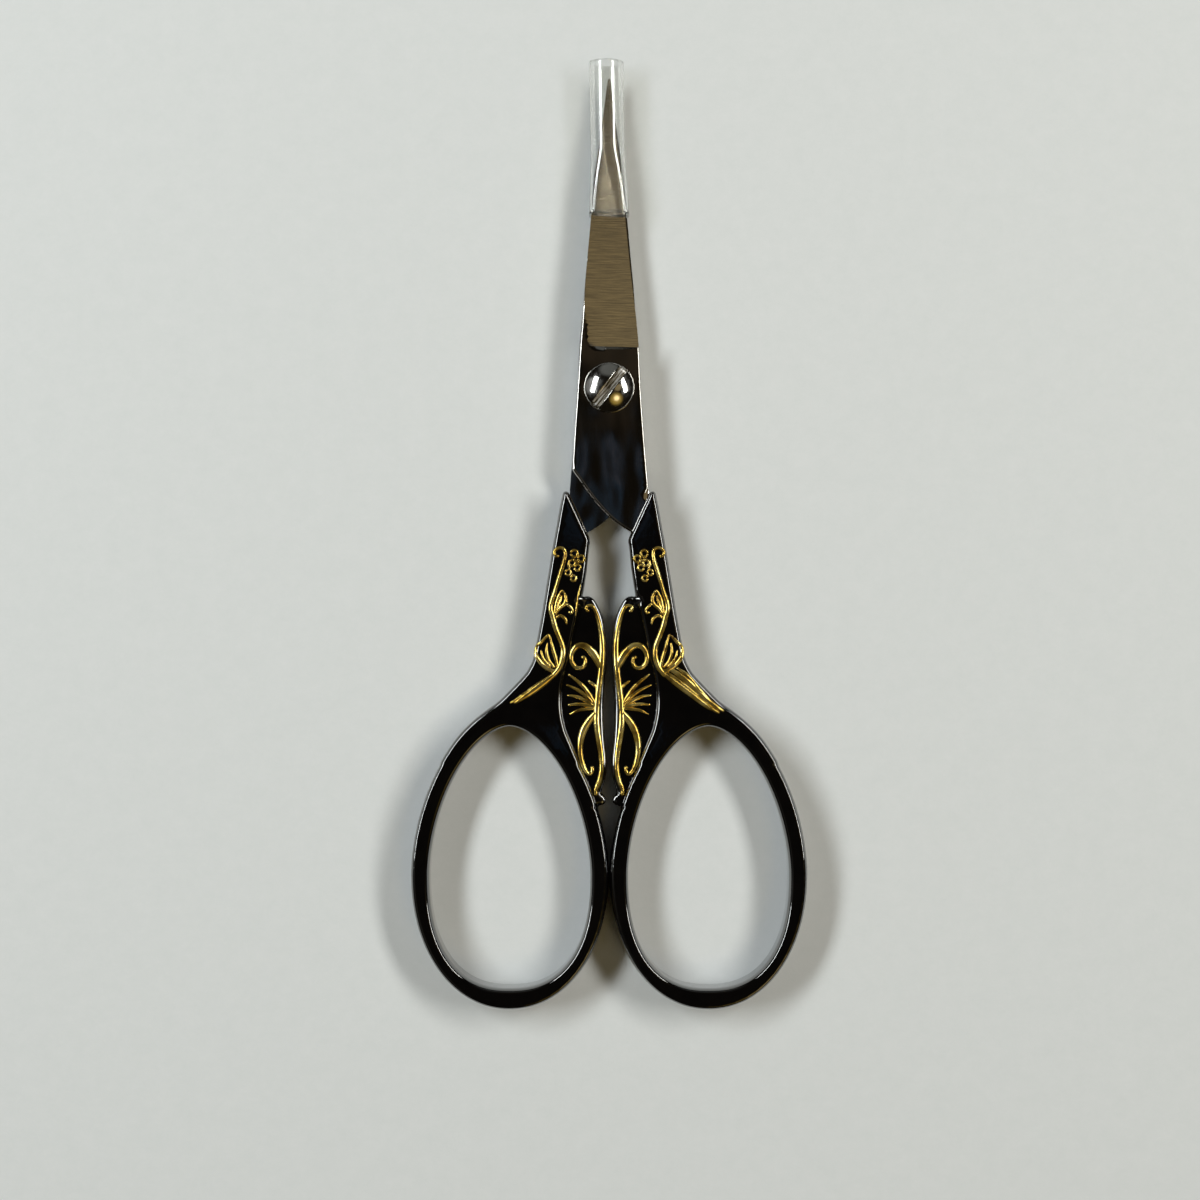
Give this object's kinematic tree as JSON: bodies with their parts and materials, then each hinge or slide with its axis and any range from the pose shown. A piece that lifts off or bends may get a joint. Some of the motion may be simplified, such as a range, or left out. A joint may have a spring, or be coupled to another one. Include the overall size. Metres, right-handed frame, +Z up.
{
  "type": "embroidery snips",
  "caption": "Small embroidery scissors: slim steel blades on a slotted screw, black cast handles with oval finger rings and gold scrollwork, clear sleeve over the points.",
  "frame": {"origin": "middle of the bounding box in X and Y, on the plane the rings lie on; the pivot is 18.1 mm towards the points", "axes": "+Y along the snips from the rings to the points, +Z up out of the face that shows the screw head, +X towards the handle of the front blade"},
  "size_m": [0.049, 0.117, 0.0054],
  "materials": {
    "steel": "polished shanks, cross-ground blade facets",
    "screw_steel": "polished",
    "enamel": "glossy black enamel on cast zinc",
    "gold_paint": "gold paint on raised relief",
    "clear_plastic": "clear, soft"
  },
  "bodies": {
    "rear_half": {"rear_blade": "steel", "left_handle": "enamel", "left_arm_vine_front": "gold_paint", "left_wing_scroll_front": "gold_paint", "left_arm_vine_back": "gold_paint", "left_wing_scroll_back": "gold_paint"},
    "front_half": {"front_blade": "steel", "right_handle": "enamel", "right_arm_vine_front": "gold_paint", "right_wing_scroll_front": "gold_paint", "right_arm_vine_back": "gold_paint", "right_wing_scroll_back": "gold_paint"},
    "screw": {"pivot_screw": "screw_steel"},
    "cover": {"tip_cover": "clear_plastic"}
  },
  "joints": [
    {"name": "blade_pivot", "type": "hinge", "parent": "rear_half", "child": "front_half", "pos_m": [0, 0.01812, 0.0024], "axis": [0, 0, 1], "range_deg": [0, 140]},
    {"name": "screw_tension", "type": "hinge", "parent": "rear_half", "child": "screw", "pos_m": [0, 0.01812, 0.0024], "axis": [0, 0, 1], "range_deg": [-30, 30]},
    {"name": "tip_cover_slide", "type": "slide", "parent": "rear_half", "child": "cover", "axis": [0, 1, 0], "range_m": [0, 0.03]}
  ]
}
